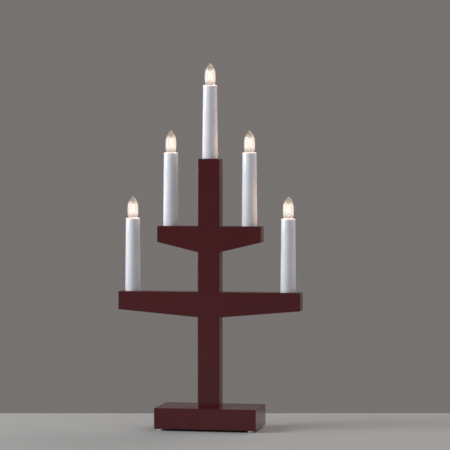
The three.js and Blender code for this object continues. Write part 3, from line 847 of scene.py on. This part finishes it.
def lamp_contact(place, rim, metal):
    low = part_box(f"lamp_contact_{place}")[0].z - rim.z
    profile = [
        *[(radius, low + rise) for radius, rise in CONTACT_FACE],
        (CONTACT_RADIUS, CONTACT_SEAT), (CONTACT_SHANK, CONTACT_SEAT),
        (CONTACT_SHANK, CONTACT_TOP), (0, CONTACT_TOP),
    ]
    name = f"contact_{place}"
    contact = lathe(name, profile, CONTACT_SEGMENTS, rim, hard_edge=TURNED_HARD_EDGE)
    dress(contact, f"lift_{place}", "nickel", metal, f"lamp_contact_{place}")


def screw_shell(place, rim, metal):
    """The threaded shell of the lampholder and the tag that its wire is soldered to."""
    shell = threaded_sleeve(f"shell_{place}", SHELL_TOP, SHELL_LOW, SHELL_CREST, rim)
    dress(shell, MAIN_BODY, "brass", metal, f"screw_shell_{place}")
    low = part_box(f"screw_shell_{place}")[0].z
    outline = (
        (TAG_INNER, -TAG_HALF_WIDTH), (TAG_OUTER, -TAG_HALF_WIDTH),
        (TAG_OUTER, TAG_HALF_WIDTH), (TAG_INNER, TAG_HALF_WIDTH),
    )
    corners = [rim + Vector((x, y, 0)) for x, y in outline]
    tag = slab(f"solder_tag_{place}", corners, low, rim.z + SHELL_LOW + TAG_OVERLAP)
    dress(tag, MAIN_BODY, "brass", metal)


# Feet, bush and small screws

def bumper_foot(name, material):
    low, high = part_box(name)
    middle = (low + high) / 2
    radius = (high.x - low.x) / 2
    height = high.z - low.z
    knots = [(across * radius, 0, up * height) for across, up in FOOT_CROWN]
    crown = [(point.x, max(point.z, 0)) for point in smooth_line(knots, FOOT_KNOT_STEPS)]
    profile = [(0, 0), *crown, (radius, height), (0, height)]
    centre = (middle.x, middle.y, low.z)
    foot = lathe(name.replace("foot", "bumper"), profile, FOOT_SEGMENTS, centre)
    dress(foot, MAIN_BODY, "clear_bumper", material, name)


def cable_bush(material):
    low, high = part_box("cable_bush")
    middle = (low + high) / 2
    flange = (high.x - low.x) / 2
    length = high.y - low.y
    rim_round, bore_round = BUSH_RIM_ROUND, BUSH_BORE_ROUND
    profile = [
        (BUSH_BORE, 0), (BUSH_BARREL, 0),
        (BUSH_BARREL, length - BUSH_LIP), (flange, length - BUSH_LIP),
        *arc(flange - rim_round, length - rim_round, rim_round, 0, 90, BUSH_ROUND_STEPS),
        *arc(BUSH_BORE + bore_round, length - bore_round, bore_round, 90, 180, BUSH_ROUND_STEPS),
    ]
    centre = (middle.x, low.y, middle.z)
    bush = lathe("rubber_bush", profile, BUSH_SEGMENTS, centre, closed=True, lying=True)
    dress(bush, MAIN_BODY, "black_rubber", material, "cable_bush")


def turn_of(point):
    """The direction of a point about the origin, as a share of a whole turn."""
    return math.atan2(point[1], point[0]) % TAU / TAU


def recess_outline():
    """The cross in a screw head, anticlockwise, in shares of the head's radius."""
    half, reach = RECESS_HALF_WIDTH, RECESS_REACH
    outline = []
    for quarter in range(4):
        turn = Matrix.Rotation(quarter * math.pi / 2, 2)
        for corner in ((reach, -half), (reach, half), (half, half)):
            outline.append(turn @ Vector(corner))
    return sorted(outline, key=turn_of)


def faces_round_recess(ring_start, recess_start, recess):
    """Faces between the edge of a screw head and its recess, one for each corner of the recess."""
    faces = []
    spokes = [round(turn_of(corner) * SCREW_SEGMENTS) % SCREW_SEGMENTS for corner in recess]
    for here in range(len(recess)):
        after = (here + 1) % len(recess)
        run = [spokes[here]]
        while run[-1] != spokes[after]:
            run.append((run[-1] + 1) % SCREW_SEGMENTS)
        edge = [ring_start + step for step in run]
        faces.append((*edge, recess_start + after, recess_start + here))
    return faces


def screw_head(name, centre, material):
    """A flush countersunk head with a cross recess, seen from below."""
    ring = []
    for step in range(SCREW_SEGMENTS):
        angle = TAU * step / SCREW_SEGMENTS
        ring.append((math.cos(angle), math.sin(angle)))
    recess = recess_outline()
    layers = (
        (ring, 1, 0), (ring, SCREW_EDGE, SCREW_RISE),
        (recess, 1, SCREW_RISE), (recess, RECESS_FLOOR, -RECESS_DEPTH),
    )
    vertices = []
    starts = []
    downward = Vector((0, 0, -1)).to_track_quat("Z", "Y")
    for outline, share, rise in layers:
        starts.append(len(vertices))
        for x, y in outline:
            local = SCREW_RADIUS * Vector((x * share, y * share, rise))
            vertices.append(Vector(centre) + downward @ local)
    back, edge, recess_top, recess_floor = starts
    faces = [tuple(range(edge - 1, back - 1, -1)), tuple(range(recess_floor, len(vertices)))]
    for i in range(SCREW_SEGMENTS):
        after = (i + 1) % SCREW_SEGMENTS
        faces.append((back + i, back + after, edge + after, edge + i))
    for i in range(len(recess)):
        after = (i + 1) % len(recess)
        faces.append((recess_top + i, recess_top + after, recess_floor + after, recess_floor + i))
    faces.extend(faces_round_recess(edge, recess_top, recess))
    head = new_object(name, vertices, faces, SCREW_HARD_EDGE)
    dress(head, MAIN_BODY, "steel", material)


def base_cover_screws(material):
    low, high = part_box("base_cover")
    spots = []
    for x in (low.x + SCREW_INSET, high.x - SCREW_INSET):
        for y in (low.y + SCREW_INSET, high.y - SCREW_INSET):
            spots.append((x, y, low.z))
    for number, spot in enumerate(spots, 1):
        screw_head(f"cover_screw_{number}", spot, material)


# Assembly

def shade_cad_nodes(by_slot):
    """Gives each CAD node that stays in view the finish of its slot."""
    for row in frame["record"]["subparts"]:
        node = frame["nodes"][row["node"]]
        if node.hide_render:
            continue
        node.data.materials.clear()
        node.data.materials.append(by_slot[row["material_slot"]])


bpy.context.scene.view_settings.view_transform = "Standard"

looks = {
    "paint": red_paint(),
    "tube": tube_plastic(),
    "glass": lamp_glass(),
    "stem": stem_glass(),
    "filament": filament_glow(),
    "leads": plain_metal("lead_wire", LEAD_GREY, low=0.35, high=0.5, scale=500),
    "nickel": plain_metal("nickel", NICKEL, low=0.2, high=0.34, scale=240),
    "brass": plain_metal("brass", BRASS, low=0.22, high=0.4, scale=240),
    "steel": plain_metal("zinc_steel", ZINC, low=0.28, high=0.45, scale=300),
    "holder": soft_plastic("holder_plastic", HOLDER_CREAM, low=0.4, high=0.6, scale=60),
    "wire": soft_plastic("wire_insulation", WIRE_WHITE, low=0.35, high=0.5, scale=90),
    "insulator": soft_plastic("cap_insulator", INSULATOR_BLACK, low=0.2, high=0.35, scale=200),
    "rubber": soft_plastic("black_rubber", RUBBER_BLACK, low=0.55, high=0.8, scale=120),
    "bumper": clear_bumper(),
    "hardboard": hardboard(),
}

make_camera()
make_table(pale_table())
make_world()
for settings in SOFTBOXES:
    softbox(**settings)

for place in PLACES:
    rim = candle_tube(place, looks["tube"])
    glass_envelope(place, rim, looks["glass"])
    lamp_stem(place, rim, looks["stem"])
    coiled_filament(place, rim, looks["filament"])
    lamp_leads(place, rim, looks["leads"])
    filament_support(place, rim, looks["leads"])
    lamp_cap(place, rim, looks["nickel"], looks["insulator"])
    lamp_contact(place, rim, looks["nickel"])
    screw_shell(place, rim, looks["brass"])
    lamp_light(place, rim)

for foot in FEET:
    bumper_foot(foot, looks["bumper"])
cable_bush(looks["rubber"])
base_cover_screws(looks["steel"])
shade_cad_nodes({
    "red_paint": looks["paint"],
    "base_cover_board": looks["hardboard"],
    "steel": looks["steel"],
    "brass": looks["brass"],
    "holder_plastic": looks["holder"],
    "wire_insulation": looks["wire"],
})

bpy.context.view_layer.update()
